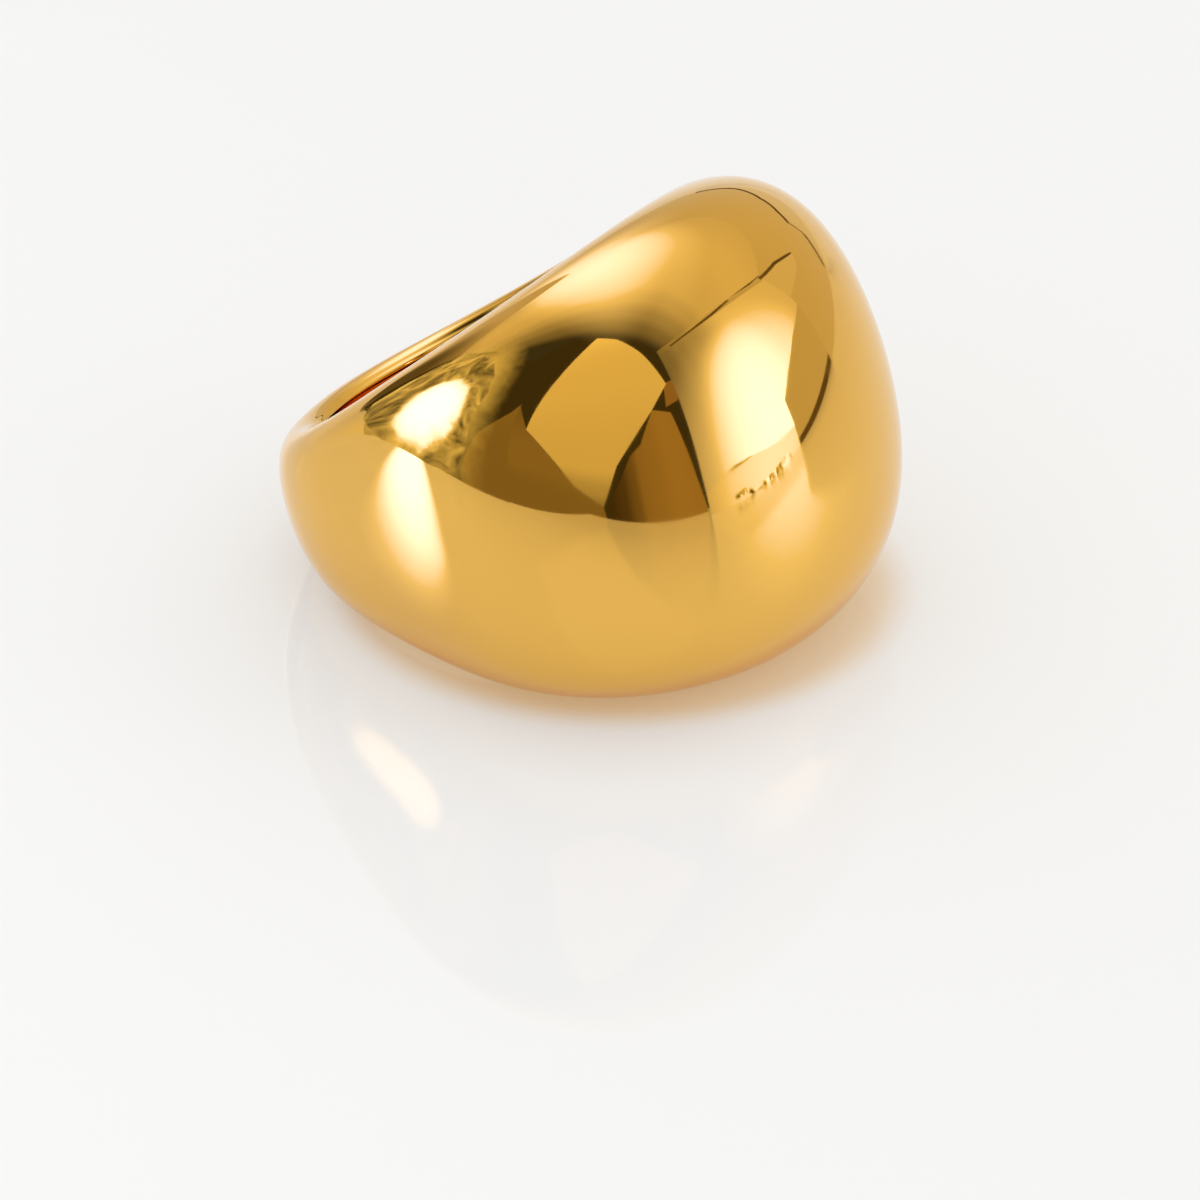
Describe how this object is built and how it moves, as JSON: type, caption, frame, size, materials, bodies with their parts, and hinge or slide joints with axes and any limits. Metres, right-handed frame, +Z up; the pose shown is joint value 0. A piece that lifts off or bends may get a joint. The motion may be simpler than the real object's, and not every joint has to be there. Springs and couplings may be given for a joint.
{
  "type": "dome ring",
  "caption": "Finger ring of one polished gold-coloured piece, with a high wide dome that narrows to a slim band, lying on its side.",
  "frame": {"origin": "middle of the bounding box, on the surface that the ring lies on", "axes": "+Z up; +X towards the dome; Y across the finger hole. The finger hole's axis leans 20.7 degrees from +Z towards -X"},
  "size_m": [0.0286, 0.0256, 0.0204],
  "materials": {
    "polished_gold": "mirror-polished yellow gold"
  },
  "bodies": {
    "root": {"ring": "polished_gold"}
  },
  "joints": []
}
